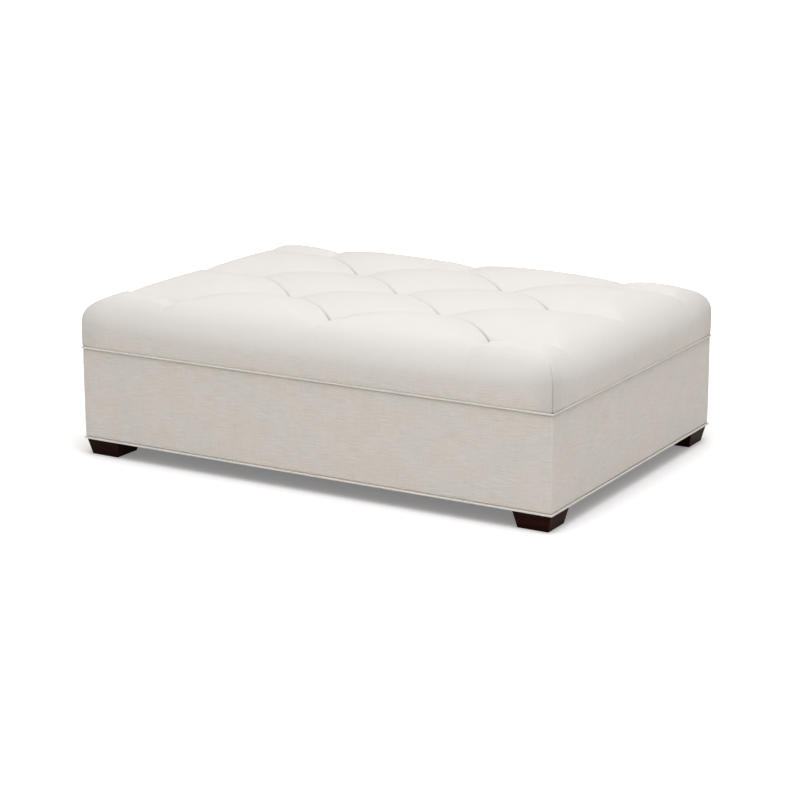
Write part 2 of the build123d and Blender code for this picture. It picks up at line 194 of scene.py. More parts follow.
def new_material(name: str, constants: dict[str, Setting]) -> tuple[Material, NodeTree, Node]:
    """Make a material with a Principled shader.

    Args:
        name: The material's name.
        constants: The values for the shader's own sockets.

    Returns:
        The material, its tree and the shader.
    """
    material = bpy.data.materials.new(name)
    material.use_nodes = True
    tree = material.node_tree
    shader = tree.nodes["Principled BSDF"]
    for socket, value in constants.items():
        shader.inputs[socket].default_value = value
    return material, tree, shader


def tinted(tree: NodeTree, ground: str, tones: Sequence[Tone]) -> NodeSocket:
    """Lay tones over a ground colour, one after the other.

    Args:
        tree: The material's tree.
        ground: The ground's hex colour.
        tones: The tones, the lowest first.

    Returns:
        The colour's socket.
    """
    colour = linear(ground)
    for mask, factors, tone in tones:
        for factor in factors:
            inputs = {0: mask, 1: factor}
            mask = add_node(tree, "ShaderNodeMath", inputs, operation="MULTIPLY").outputs[0]
        inputs = {0: mask, 6: colour, 7: linear(tone)}
        colour = add_node(tree, "ShaderNodeMix", inputs, data_type="RGBA").outputs[2]
    return colour


def finish_surface(
    tree: NodeTree, shader: Node, colour: NodeSocket, height: NodeSocket, depth: float
) -> None:
    """Link a pattern's colour and relief to the shader.

    Args:
        tree: The material's tree.
        shader: The Principled shader.
        colour: The colour's socket.
        height: The relief, from 0 to 1.
        depth: The relief's depth, in metres.
    """
    tree.links.new(colour, shader.inputs["Base Color"])
    bump = add_node(tree, "ShaderNodeBump", {"Height": height, "Distance": depth})
    tree.links.new(bump.outputs[0], shader.inputs["Normal"])


def patterned(
    name: str,
    constants: dict[str, Setting],
    ground: str,
    layers: Sequence[tuple[Union[Grain, Bands], float, str]],
    fine: Grain,
    relief: float,
    roughness: Optional[tuple[float, float]] = None,
) -> Material:
    """Make a material whose patterns tint its ground, with a finer one in relief.

    Args:
        name: The material's name.
        constants: The values for the shader's own sockets.
        ground: The ground's hex colour.
        layers: Each pattern, how strongly it tints, and its hex colour.
        fine: The relief's pattern.
        relief: The relief's depth, in metres.
        roughness: The ground's roughness, and what the first pattern adds to it.

    Returns:
        The material.
    """
    material, tree, shader = new_material(name, constants)
    place = add_node(tree, "ShaderNodeTexCoord").outputs["Object"]
    tones = [(pattern.draw(tree, place), (amount,), tone) for pattern, amount, tone in layers]
    finish_surface(tree, shader, tinted(tree, ground, tones), fine.draw(tree, place), relief)
    if roughness is not None:
        base, added = roughness
        rough = add_node(
            tree, "ShaderNodeMath", {0: tones[0][0], 1: added, 2: base}, operation="MULTIPLY_ADD"
        )
        tree.links.new(rough.outputs[0], shader.inputs["Roughness"])
    return material


def lengthwise(along: Axis, length: float, width: float) -> list[float]:
    """Return the three sizes of a grain that is long along one axis."""
    return [length if axis is along else width for axis in Axis]


@dataclass(frozen=True)
class WovenLinen:
    """Linen-look cloth in a plain weave.

    Matt, dry to the eye, with uneven slubs that run along the weft and a faint mottling where
    the yarns took the colour warmer or cooler.
    """

    name: str
    cut: Cut = Cut.STRAIGHT
    # Painted light: the sides' ground is warmer and darker, the top's lighter and cooler
    ground: str = "#E6E1D9"
    painted_lit_top_ground: str = "#E8E6E2"
    slub_dark: str = "#C4BCB1"
    slub_light: str = "#F6F3EE"
    warm: str = "#E6DACF"
    cool: str = "#DEDFDA"
    # Painted shade: the colour that the low places between the puffs are darkened towards
    valley: str = "#C4B8A9"
    # Painted shadow: the dark line along the pleats' creases and in the corner seams
    painted_crease_shadow: str = "#80705F"
    # The real threads are about 0.6 mm apart. The slubs are drawn two threads wide, so that they
    # show from where the photograph was taken.
    thread_pitch: float = 1.1 * MM
    slub_width: float = 2.2 * MM
    slub_length: float = 42 * MM
    patch_size: float = 60 * MM
    relief: float = 0.25 * MM
    thread_relief: float = 0.6
    # Painted light: from the first of these heights to the second, the pattern fades and the ground
    # turns lighter and cooler, as the top looks under the light from above
    washed_from: float = 285 * MM
    washed_to: float = 360 * MM
    washed_strength: float = 0.25

    def coordinates(self, tree: NodeTree, spot: NodeSocket) -> NodeSocket:
        """Return the place on the cloth, its first axis along the weft.

        Args:
            tree: The material's tree.
            spot: The place in the room.

        Returns:
            The coordinates' socket, in metres.
        """
        if self.cut is Cut.STRAIGHT:
            return add_node(tree, "ShaderNodeUVMap", uv_map="cloth").outputs[0]
        diagonals = {
            number: add_node(
                tree, "ShaderNodeVectorMath", {0: spot, 1: slant}, operation="DOT_PRODUCT"
            ).outputs["Value"]
            for number, slant in enumerate(((1, 1, 1), (1, 1, -1)))
        }
        return add_node(tree, "ShaderNodeCombineXYZ", diagonals).outputs[0]

    def make(self) -> Material:
        """Make the material.

        Returns:
            The material, which follows the piece's cloth map where it is cut straight.
        """
        material, tree, shader = new_material(
            self.name,
            {
                "Roughness": 0.92,
                "IOR": 1.5,
                "Specular IOR Level": 0.2,
                "Sheen Weight": 0.22,
                "Sheen Roughness": 0.35,
            },
        )
        spot = add_node(tree, "ShaderNodeTexCoord").outputs["Object"]
        place = self.coordinates(tree, spot)
        length, width, patch = self.slub_length, self.slub_width, self.patch_size
        dark, light, upright, speck, warmth, coolness = (
            Grain(size, *values).draw(tree, place)
            for size, *values in (
                ((length, width, 1), 0.52, 0.8, 3.0, 0.2),
                ((length, width, 1), 0.47, 0.2, 3.0, 0.2),
                ((width, length * 1.3, 1), 0.5, 0.8),
                ((length * 0.4, width * 0.6, 1), 0.3, 0.7, 3.0),
                ((patch, patch, 1), 0.4, 0.7, 3.0),
                ((patch * 3, patch * 2, 1), 0.45, 0.7, 3.0),
            )
        )
        strength = add_node(
            tree,
            "ShaderNodeMapRange",
            {
                "Value": add_node(tree, "ShaderNodeSeparateXYZ", {0: spot}).outputs["Z"],
                "From Min": self.washed_from,
                "From Max": self.washed_to,
                "To Min": 1.0,
                "To Max": self.washed_strength,
            },
            interpolation_type="SMOOTHSTEP",
        ).outputs[0]
        # Masks of painted shade from the mesh: the low places between the puffs, and the creases
        # and seams
        low, painted_crease_shade = (
            add_node(tree, "ShaderNodeAttribute", attribute_name=mask).outputs["Fac"]
            for mask in ("low", "painted_crease_shade")
        )
        colour = tinted(
            tree,
            self.painted_lit_top_ground,
            (
                # Painted light: the top's lighter, cooler ground gives way to the sides' warmer
                # one, and the pattern fades towards the top
                (strength, (), self.ground),
                (warmth, (0.45, strength), self.warm),
                (coolness, (0.55, strength), self.cool),
                (speck, (0.22, strength), self.slub_dark),
                (upright, (0.3, strength), self.slub_dark),
                (dark, (0.5, strength), self.slub_dark),
                (light, (0.5, strength), self.slub_light),
                # Painted shade in the low places between the puffs
                (low, (0.05,), self.valley),
                # Painted shadow line along the creases and seams
                (painted_crease_shade, (0.6,), self.painted_crease_shadow),
            ),
        )
        height = light
        for across in (Axis.X, Axis.Y):
            threads = Bands(self.thread_pitch, across).draw(tree, place)
            inputs = {0: threads, 1: self.thread_relief, 2: height}
            raised = add_node(tree, "ShaderNodeMath", inputs, operation="MULTIPLY_ADD")
            height = raised.outputs[0]
        finish_surface(tree, shader, colour, height, self.relief)
        return material


@dataclass(frozen=True)
class StainedHardwood:
    """Hardwood stained espresso and lacquered satin: almost black, with red-brown in the grain."""

    name: str = "espresso_hardwood"
    ground: str = "#180703"
    grain: str = "#30140B"
    grain_width: float = 3.5 * MM
    grain_length: float = 70 * MM

    def make(self) -> Material:
        """Make the material.

        Returns:
            The material, its grain along X.
        """
        coarse = lengthwise(Axis.X, self.grain_length, self.grain_width)
        pores = lengthwise(Axis.X, self.grain_length / 3, self.grain_width / 5)
        return patterned(
            self.name,
            {"IOR": 1.5, "Specular IOR Level": 0.03},
            self.ground,
            [(Grain(coarse, 0.4, 0.75, 4.0, 0.6), 1.0, self.grain)],
            Grain(pores, 0.55, 0.7),
            relief=0.1 * MM,
            roughness=(0.42, 0.12),
        )


@dataclass(frozen=True)
class Plywood:
    """Softwood plywood: rotary veneer on its faces, stripes of pale and dark ply on its edges."""

    name: str
    through: Axis
    along: Axis
    face: str = "#D9BD93"
    grain: str = "#B98F5E"
    dark_ply: str = "#9C7446"
    ply: float = 2.25 * MM
    grain_size: tuple[float, float] = (180 * MM, 9 * MM)
    pore_size: tuple[float, float] = (25 * MM, 0.9 * MM)

    def make(self) -> Material:
        """Make the material.

        Returns:
            The material, its veneer and its plies turned to the board.
        """
        veneer = Grain(lengthwise(self.along, *self.grain_size), 0.42, 0.62, 5.0, 1.2)
        plies = Bands(2 * self.ply, self.through)
        return patterned(
            self.name,
            {"Roughness": 0.68, "IOR": 1.5, "Specular IOR Level": 0.4},
            self.face,
            [(veneer, 1.0, self.grain), (plies, 0.55, self.dark_ply)],
            Grain(lengthwise(self.along, *self.pore_size), 0.5, 0.75, 3.0),
            relief=0.15 * MM,
        )


@dataclass(frozen=True)
class PlanedPine:
    """Planed pine: straight yellow grain with browner late wood, and no finish on it."""

    name: str
    along: Axis
    early: str = "#E0C08C"
    late: str = "#B9834A"
    ring_size: tuple[float, float] = (400 * MM, 5 * MM)
    fibre_size: tuple[float, float] = (30 * MM, 0.7 * MM)

    def make(self) -> Material:
        """Make the material.

        Returns:
            The material, its grain along the rail or the block.
        """
        rings = Grain(lengthwise(self.along, *self.ring_size), 0.45, 0.68, 3.0, 0.4)
        return patterned(
            self.name,
            {"Roughness": 0.62, "IOR": 1.5, "Specular IOR Level": 0.4},
            self.early,
            [(rings, 1.0, self.late)],
            Grain(lengthwise(self.along, *self.fibre_size), 0.45, 0.75),
            relief=0.12 * MM,
        )


@dataclass(frozen=True)
class ZincSteel:
    """Mild steel, zinc plated: bright grey-blue with a fine cloudy spangle and soft highlights."""

    name: str = "zinc_plated_steel"
    bright: str = "#C6CACE"
    dull: str = "#9EA3A8"
    spangle: float = 4 * MM
    scratch_size: tuple[float, float] = (5 * MM, 0.3 * MM)

    def make(self) -> Material:
        """Make the material.

        Returns:
            The material, with its spangle and its fine scratches.
        """
        spangle = Grain([self.spangle] * 3, 0.35, 0.7, 4.0)
        return patterned(
            self.name,
            {"Metallic": 1.0},
            self.bright,
            [(spangle, 1.0, self.dull)],
            Grain(lengthwise(Axis.Y, *self.scratch_size), 0.5, 0.8),
            relief=0.02 * MM,
            roughness=(0.28, 0.16),
        )


@dataclass(frozen=True)
class PlainStuff:
    """A soft or moulded stuff with one cloudy grain, such as wadding, foam, twine or nylon."""

    name: str
    light: str
    dark: str
    grain: tuple[float, float, float]
    relief: float
    roughness: float = 0.95
    sheen: float = 0.0
    subsurface: float = 0.0

    def make(self) -> Material:
        """Make the material.

        Returns:
            The material, with its grain and the finer specks in it.
        """
        material, tree, shader = new_material(
            self.name,
            {
                "Roughness": self.roughness,
                "IOR": 1.5,
                "Specular IOR Level": 0.3,
                "Sheen Weight": self.sheen,
                "Subsurface Weight": self.subsurface,
            },
        )
        place = add_node(tree, "ShaderNodeTexCoord").outputs["Object"]
        cloud = Grain(self.grain, 0.35, 0.68, 4.0, 0.3).draw(tree, place)
        speck = Grain([size / 4 for size in self.grain], 0.35, 0.7, 3.0, 0.5).draw(tree, place)
        mixed = add_node(tree, "ShaderNodeMix", {0: 0.4, 2: cloud, 3: speck}).outputs[0]
        colour = tinted(tree, self.light, [(mixed, (), self.dark)])
        finish_surface(tree, shader, colour, mixed, self.relief)
        return material


# Carded polyester wadding: white and fluffy, cloudy where its fibres lie thicker
WADDING = PlainStuff(
    "polyester_wadding", "#F4F3EF", "#DEDCD6", (14 * MM, 11 * MM, 12 * MM), 1.2 * MM, sheen=0.3
)
# The same wadding on the box's sides, pressed flatter
SIDE_WADDING = PlainStuff(
    "side_wadding", "#F2F1EC", "#DCDAD3", (16 * MM, 16 * MM, 9 * MM), 0.8 * MM, sheen=0.3
)
# Polyurethane foam cut from the block: pale yellow and matt, with fine open cells
SEAT_FOAM = PlainStuff("cut_seat_foam", "#F0E7C4", "#DDCF9F", (3 * MM, 3 * MM, 3 * MM), 0.5 * MM)
# Laid and waxed twine: cream, darker between its yarns, with a faint gloss
TUFTING_TWINE = PlainStuff(
    "waxed_tufting_twine", "#D8CDB4", "#A8987A", (1.2 * MM, 1.2 * MM, 2.6 * MM), 0.25 * MM, 0.7
)
# Moulded nylon: off-white and smooth, and light goes a little way into it
MOULDED_NYLON = PlainStuff(
    "moulded_nylon", "#E9E7E0", "#DCDAD2", (9 * MM,) * 3, 0.03 * MM, 0.42, subsurface=0.1
)
# Twisted paper cord: kraft brown and dull, with the ridges of its twist
PAPER_CORD = PlainStuff(
    "twisted_paper_cord", "#CBB48F", "#A88E66", (3 * MM, 3 * MM, 1.2 * MM), 0.3 * MM, 0.85
)
# Spunbonded cloth: thin and black, with the fine specks of its bond points
DUST_CLOTH = PlainStuff(
    "spunbonded_dust_cloth", "#1F1F20", "#131314", (2.4 * MM,) * 3, 0.12 * MM, 0.8
)


def in_scene(name: str, data: Union[Mesh, Camera, AreaLight]) -> Object:
    """Put a mesh, a camera or a lamp in the scene.

    Args:
        name: The new object's name.
        data: The mesh, the camera or the lamp.

    Returns:
        The new object, at the origin.
    """
    made = bpy.data.objects.new(name, data)
    bpy.context.scene.collection.objects.link(made)
    return made


def shown(name: str, bm: BMesh, material: Material) -> Object:
    """Put a finished mesh in the scene.

    Args:
        name: The piece's name.
        bm: Its mesh, which is freed.
        material: Its material.

    Returns:
        The new object, at the origin.
    """
    mesh = bpy.data.meshes.new(name)
    for face in bm.faces:
        face.smooth = True
    bm.to_mesh(mesh)
    bm.free()
    mesh.materials.append(material)
    return in_scene(name, mesh)


def placed(
    name: str,
    bm: BMesh,
    material: Material,
    nodes: Sequence[str] = (),
    thickness: float = 0.0,
) -> Object:
    """Put a piece of the table in the scene and in the frame.

    Args:
        name: The piece's name.
        bm: Its mesh, which is freed.
        material: Its material.
        nodes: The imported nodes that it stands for.
        thickness: A cloth's thickness, inwards from its face.

    Returns:
        The piece.
    """
    piece = shown(name, bm, material)
    if thickness:
        shell = piece.modifiers.new("cloth thickness", "SOLIDIFY")
        shell.thickness = thickness
        shell.offset = -1.0
        shell.use_rim = True
    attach(piece, BODY)
    if nodes:
        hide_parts(*nodes)
    log.info("%s: %d faces", piece.name, len(piece.data.polygons))
    return piece


def extruded(bm: BMesh, edges: Sequence[BMEdge]) -> tuple[list[BMVert], list[BMEdge]]:
    """Extrude a row of edges in place.

    Args:
        bm: The mesh.
        edges: The row.

    Returns:
        The vertices and the edges of the new row.
    """
    made = bmesh.ops.extrude_edge_only(bm, edges=edges)["geom"]
    verts = [part for part in made if isinstance(part, BMVert)]
    fresh = set(verts)
    row = [part for part in made if isinstance(part, BMEdge) and fresh.issuperset(part.verts)]
    return verts, row


def add_rectangle(bm: BMesh, length: float, depth: float, level: float) -> list[BMVert]:
    """Add a flat rectangle about the middle.

    Args:
        bm: The mesh that gets it.
        length: Its size along X.
        depth: Its size along Y.
        level: Its height.

    Returns:
        Its four vertices.
    """
    verts = bmesh.ops.create_grid(bm, x_segments=1, y_segments=1, size=0.5)["verts"]
    for vert in verts:
        vert.co = Vector((vert.co.x * length, vert.co.y * depth, level))
    return verts


def smooth_least(first: float, second: float, softness: float) -> float:
    """Return the smaller of two heights, lower by the softness where they meet."""
    return (first + second) / 2 - math.sqrt((first - second) ** 2 / 4 + softness**2)


def smooth_step(share: float) -> float:
    """Return an even rise from 0 to 1 that starts and ends level."""
    held = min(max(share, 0.0), 1.0)
    return held * held * (3 - 2 * held)


def bell(distance: float, width: float) -> float:
    """Return 1 where the distance is 0, fading to nothing over about twice the width."""
    return math.exp(-((distance / width) ** 2))


def eased(count: int, ease: float) -> list[float]:
    """Return shares from 0 to 1, closer together at both ends the nearer the ease is to 1."""
    steps = [step / count for step in range(count + 1)]
    return [step - ease * math.sin(2 * math.pi * step) / (2 * math.pi) for step in steps]


def edge_distance(place: Vector, start: Vector, end: Vector) -> tuple[float, float]:
    """Measure from a place to a straight stretch.

    Args:
        place: The place, in plan.
        start: Where the stretch starts.
        end: Where it ends.

    Returns:
        The distance, and how far along the stretch its nearest point lies, from 0 to 1.
    """
    run = end - start
    share = min(max((place - start).dot(run) / run.length_squared, 0.0), 1.0)
    return (place - start - run * share).length, share


@dataclass
class CushionShape:
    """The tufted form of the cushion, as heights and shifts that its layers share."""

    half_length: float = 658.8 * MM
    half_depth: float = 455.3 * MM
    bottom: float = 280.5 * MM
    # The untufted crown and the shoulder round it
    shoulder_level: float = 343 * MM
    shoulder_radius: float = 60 * MM
    shoulder_slope: float = math.radians(22.3)
    shoulder_run: float = 52 * MM
    shoulder_sag: float = 22 * MM
    sag_reach: float = 80 * MM
    corner_hold: float = 0.6
    corner_reach: float = 150 * MM
    # The tufts and the puffs between them
    pitch_x: float = 215.5 * MM
    pitch_y: float = 161 * MM
    tuft_level: float = 385.5 * MM
    inner_rise: float = 42 * MM
    edge_rise: float = 48 * MM
    fullness: float = 1.9
    corner_fullness: float = 1.5
    pleat_share: float = 1.2
    pleat_bow: float = 1.45
    edge_valley: float = 0.25
    valley_run_x: float = 1.05
    valley_run_y: float = 0.5
    corner_rise: float = 12 * MM
    corner_softness: float = 7 * MM
    crown_softness: float = 1.5 * MM
    # The folds along the pleats, shallower half way, and the pinches at the tufts
    fold_depth: float = 6 * MM
    fold_width: float = 5.5 * MM
    fold_middle: float = 0.65
    # Width of the painted shadow line along each crease
    fold_shade: float = 1.2 * MM
    edge_fold_depth: float = 0.6 * MM
    edge_fold_end: float = 1 / 1.5
    pinch_depth: float = 4 * MM
    pinch_reach: float = 8 * MM
    # The upright corners
    corner_radius: float = 9 * MM
    corner_radius_above: float = 20 * MM
    rounding_level: float = 333 * MM
    rounding_run: float = 60 * MM

    def rise(self, share: float, fullness: float) -> float:
        """Return a puff's height share, from 0 on a pleat to 1 at half way to the next."""
        return 1 - (1 - 2 * min(share, 0.5)) ** fullness

    def between(self, steps: float) -> float:
        """Return a puff's height share at a place given in steps from pleat to pleat."""
        return self.rise(abs(steps - round(steps)), self.fullness)

    def joined(self, first: float, second: float) -> float:
        """Join a puff's rise in its two directions.

        Args:
            first: Its rise away from one pleat, from 0 to 1.
            second: The same for the pleat that crosses it.

        Returns:
            The height share, lower along the pleats, which leave the tufts more steeply.
        """
        bow = sum(
            (1 - (1 - along) ** self.pleat_bow - along) * (1 - across) ** 2
            for along, across in ((first, second), (second, first))
        )
        pleats = self.pleat_share * (first + second + bow) / 2
        return pleats + (1 - self.pleat_share) * first * second

    def profile(self, half_width: float, inset: float) -> float:
        """Return the height of the untufted shoulder and crown.

        Args:
            half_width: Half the cushion's width across this profile.
            inset: The distance inwards from the cushion's upright face.

        Returns:
            The height over the floor.
        """
        run = half_width - self.shoulder_radius
        if inset < self.shoulder_radius * (1 - math.sin(self.shoulder_slope)):
            across = self.shoulder_radius - inset
            return self.shoulder_level + math.sqrt(max(self.shoulder_radius**2 - across**2, 0))
        crown_radius = run / math.sin(self.shoulder_slope) + self.shoulder_radius
        crown_centre = self.shoulder_level - run / math.tan(self.shoulder_slope)
        return crown_centre + math.sqrt(crown_radius**2 - (half_width - inset) ** 2)

    def sag(self, near: float, far: float) -> float:
        """Return how far the shoulder hangs below its arc, by the insets from both faces."""
        held = self.corner_hold * (1 - smooth_step(far / self.corner_reach))
        return self.shoulder_sag * (1 - held) * max(1 - near / self.sag_reach, 0) ** 2

    def quilting(self, columns: float, rows: float) -> float:
        """Return the puffs' height share at a place in one quarter of the plan.

        Args:
            columns: The distance from the middle along X, in steps of the tufts.
            rows: The distance from the middle along Y, in steps of the tufts.

        Returns:
            A share from 0 at a tuft to 1 at the top of a puff.
        """
        past_x, past_y = max(columns - 2, 0), max(rows - 2, 0)
        if past_x == past_y == 0:
            slants = ((columns + rows) / 2, (rows - columns) / 2)
            return self.joined(*(self.between(slant) for slant in slants))
        valley_x = self.edge_valley * smooth_step(past_x / self.valley_run_x)
        valley_y = self.edge_valley * smooth_step(past_y / self.valley_run_y)
        if past_x == 0 or past_y == 0:
            steps, valley = (columns, valley_y) if past_x == 0 else (rows, valley_x)
            puff = self.between(steps / 2)
            return 1 - (1 - valley) * (1 - self.joined(puff, puff))
        weight = past_x**2 / (past_x**2 + past_y**2)
        sideways = 1 - (1 - valley_x) * (1 - self.rise(past_y / 2, self.corner_fullness))
        forwards = 1 - (1 - valley_y) * (1 - self.rise(past_x / 2, self.corner_fullness))
        return weight * sideways + (1 - weight) * forwards

    def steps(self, x: float, y: float) -> tuple[float, float]:
        """Return a place's distances from the middle, in steps of the tufts."""
        return abs(x) / self.pitch_x, abs(y) / self.pitch_y

    def insets(self, x: float, y: float) -> tuple[float, float]:
        """Return a place's distances inwards from the short and the long upright face."""
        return self.half_length - abs(x), self.half_depth - abs(y)

    def top(self, x: float, y: float) -> float:
        """Return the height of the cushion's top.

        Args:
            x: A place in plan, along X.
            y: The same, along Y.

        Returns:
            The height over the floor.
        """
        columns, rows = self.steps(x, y)
        insets = self.insets(x, y)
        side = self.profile(self.half_length, insets[0])
        front = self.profile(self.half_depth, insets[1])
        shell = smooth_least(side, front, self.corner_softness) - self.sag(*sorted(insets))
        outer = smooth_step(max(columns, rows) - 1)
        rise = self.inner_rise + (self.edge_rise - self.inner_rise) * outer
        puffs = self.tuft_level + rise * self.quilting(columns, rows)
        corner = math.sqrt(max(columns - 2, 0) * max(rows - 2, 0))
        return smooth_least(shell, puffs, self.crown_softness) + self.corner_rise * corner

    def tuft(self, column: int, row: int) -> Vector:
        """Return a tuft's place in plan."""
        return Vector((column * self.pitch_x, row * self.pitch_y))

    def pleats(self) -> list[tuple[Vector, Vector, bool]]:
        """List the pleats of one quarter of the plan.

        Returns:
            Where each starts and ends, and whether it runs out to the edge.
        """
        ends = ((0, 0), (2, 0), (0, 2), (2, 2))
        pleats = [(self.tuft(1, 1), self.tuft(*end), False) for end in ends]
        for step in (0, 2):
            front, side = self.tuft(step, 2), self.tuft(2, step)
            pleats.append((front, Vector((front.x, self.half_depth)), True))
            pleats.append((side, Vector((self.half_length, side.y)), True))
        return pleats

    def fold(self, x: float, y: float) -> tuple[float, float]:
        """Measure the pleats' folds and the tufts' pinches.

        Args:
            x: A place in plan, along X.
            y: The same, along Y.

        Returns:
            How deep they lie under the puffs there, and how dark the painted crease shadow is.
        """
        place = Vector((abs(x), abs(y)))
        depth = shade = 0.0
        for start, end, outward in self.pleats():
            distance, share = edge_distance(place, start, end)
            strength = self.fold_middle + (1 - self.fold_middle) * (2 * share - 1) ** 2
            if outward:
                faded = 1 - smooth_step(share / self.edge_fold_end)
                strength = faded + (1 - faded) * self.edge_fold_depth / self.fold_depth
            held = max(1 - distance / self.fold_width, 0)
            depth = max(depth, self.fold_depth * strength * (1 - math.sqrt(1 - held**2)))
            # The painted shadow along a crease, darkest near the tufts
            shade = max(shade, (2 * strength - 1) * bell(distance, self.fold_shade))
        for column, row in ((0, 0), (2, 0), (1, 1), (0, 2), (2, 2)):
            gap = (place - self.tuft(column, row)).length
            depth = max(depth, self.pinch_depth * bell(gap, self.pinch_reach))
        return depth, shade

    def rounded(self, x: float, y: float, z: float) -> tuple[float, float]:
        """Round the cushion's upright corners.

        Args:
            x: A place along X.
            y: A place along Y.
            z: Its height, because the corners are rounder towards the top.

        Returns:
            The place, moved in from the sharp corner.
        """
        share = smooth_step((z - self.rounding_level) / self.rounding_run)
        radius = self.corner_radius + share * (self.corner_radius_above - self.corner_radius)
        u = abs(x) - self.half_length + radius
        v = abs(y) - self.half_depth + radius
        if u <= 0 or v <= 0:
            return x, y
        across = self.half_length - radius + u * math.sqrt(1 - v**2 / (2 * radius**2))
        along = self.half_depth - radius + v * math.sqrt(1 - u**2 / (2 * radius**2))
        return math.copysign(across, x), math.copysign(along, y)


@dataclass
class Spot:
    """A vertex's places in plan and on the flat cloth, its height, and how far it hangs."""

    plan: Vector
    cloth: Vector
    level: float
    hang: float = 0.0


@dataclass
class QuiltedLayer:
    """One layer of the cushion, a skin over its top and sides that follows every pleat."""

    shape: CushionShape
    inset: float
    foot: float
    segments: int
    side_rows: int
    # How far the edges crowd together: at the tufts, and on the way out to the shoulder
    crowding: float = 0.8
    outward_power: float = 0.9
    # The cloth's unevenness, with its waves to the metre along each axis
    waviness: float = 0.8 * MM
    waves: tuple[float, float, float] = (7.0, 7.0, 5.0)
    wave_start: tuple[float, float, float] = (0.0, 0.0, 3.1)
    # How quickly the folds, their painted shadow and the painted shade of low places fade down the
    # sides
    fold_fade: float = 1.2
    painted_crease_shade_fade: float = 3.0
    painted_low_shade_fade: float = 2.0
    painted_low_shade_power: float = 1.5
    # The sides bulge away from the corners, and turn in over the last share of their height
    bulge: float = 1.2 * MM
    bulge_hold: float = 120 * MM
    turn_in: float = 1.6 * MM
    turn_share: float = 1 / 6
    # A corner's seam
    seam_depth: float = 2.4 * MM
    seam_width: float = 1.3 * MM
    seam_run: float = 13.2 * MM
    # How dark the painted shadow in a corner seam's groove is
    seam_shade: float = 0.4
    ridge_height: float = 0.6 * MM
    ridge_place: float = 3.6 * MM
    ridge_width: float = 2 * MM
    skin: BMesh = field(init=False, default_factory=bmesh.new)
    spots: dict[BMVert, Spot] = field(init=False, default_factory=dict)

    def outward_shares(self, margin: float) -> list[float]:
        """Return shares of the way from the last tufts to the edge, close on the shoulder.

        Args:
            margin: The distance from the last tufts to the edge.

        Returns:
            The shares, the last of which are the same lengths whatever the margin.
        """
        outer = self.segments // 2
        inner = self.segments - outer
        bend = self.shape.shoulder_run / margin
        turns = (RIGHT_ANGLE * (step / inner) ** self.outward_power for step in range(inner))
        near = [(1 - bend) * (1 - math.cos(turn)) for turn in turns]
        return near + [1 - bend * (1 - step / outer) ** 2 for step in range(outer + 1)]

    def patches(self) -> list[tuple[Sequence[tuple[float, float]], list[float], list[float]]]:
        """List the patches of the plan.

        Returns:
            Each patch's four corners, and the shares that divide it along and across.
        """
        shape = self.shape
        a, b = shape.pitch_x, shape.pitch_y
        inner = eased(self.segments, self.crowding)
        to_front = self.outward_shares(shape.half_depth - 2 * b)
        to_side = self.outward_shares(shape.half_length - 2 * a)
        made = [
            (((x - a, y), (x, y - b), (x + a, y), (x, y + b)), inner, inner)
            for x, y in ((a, 0), (-a, 0), (0, b), (0, -b))
        ]
        for x, y in ((-a, -b), (-a, b), (a, -b), (a, b)):
            edge_x = math.copysign(shape.half_length, x)
            edge_y = math.copysign(shape.half_depth, y)
            for step in (0, 2):
                corners = ((x, y), (step * x, 2 * y), (step * x, edge_y), (x, edge_y))
                made.append((corners, inner, to_front))
            for step in (0, 2):
                corners = ((x, y), (2 * x, step * y), (edge_x, step * y), (edge_x, y))
                made.append((corners, inner, to_side))
            corners = ((2 * x, 2 * y), (edge_x, 2 * y), (edge_x, edge_y), (2 * x, edge_y))
            made.append((corners, to_side, to_front))
        return made

    def draw_plan(self) -> None:
        """Draw the flat plan of the cushion, its edges along the pleats."""
        bm = self.skin
        # Layers for the painted shade of the creases and the low places
        for mask in ("painted_crease_shade", "low"):
            bm.verts.layers.float.new(mask)
        for corners, along, across in self.patches():
            first, second, third, fourth = (Vector(corner) for corner in corners)
            columns, rows = len(along) - 1, len(across) - 1
            grid = bmesh.ops.create_grid(bm, x_segments=columns, y_segments=rows, size=0.5)
            for vert in grid["verts"]:
                s = along[round((vert.co.x + 0.5) * columns)]
                t = across[round((vert.co.y + 0.5) * rows)]
                vert.co = first.lerp(second, s).lerp(fourth.lerp(third, s), t).to_3d()
        bmesh.ops.remove_doubles(bm, verts=bm.verts, dist=0.02 * MM)
        bmesh.ops.recalc_face_normals(bm, faces=bm.faces)
        if sum(face.normal.z for face in bm.faces) < 0:
            bmesh.ops.reverse_faces(bm, faces=bm.faces)

    def split_corners(self) -> None:
        """Split the faces that a corner seam crosses, so that an edge runs along the seam."""
        for face in list(self.skin.faces):
            insets = {vert: self.shape.insets(*vert.co.xy) for vert in face.verts}
            marked = [
                vert
                for vert, (from_side, from_front) in insets.items()
                if from_side < self.shape.shoulder_run and abs(from_side - from_front) < 0.01 * MM
            ]
            if len(marked) == 2:
                bmesh.utils.face_split(face, *marked)

    def on_cloth(self, x: float, y: float) -> Vector:
        """Return a place on the flat cloth, with the length that the shoulder takes up.

        Args:
            x: The place in plan, along X.
            y: The same, along Y.

        Returns:
            The place on the cloth.
        """
        shape, bend = self.shape, self.shape.shoulder_run
        place = []
        for flat, half_width in ((x, shape.half_length), (y, shape.half_depth)):
            inset = half_width - abs(flat)
            taken = 0.0
            if inset < bend:
                taken = shape.profile(half_width, bend) - shape.profile(half_width, inset)
                taken += shape.sag(inset, half_width) - shape.sag(bend, half_width)
            place.append(flat + math.copysign(taken, flat))
        return Vector(place)

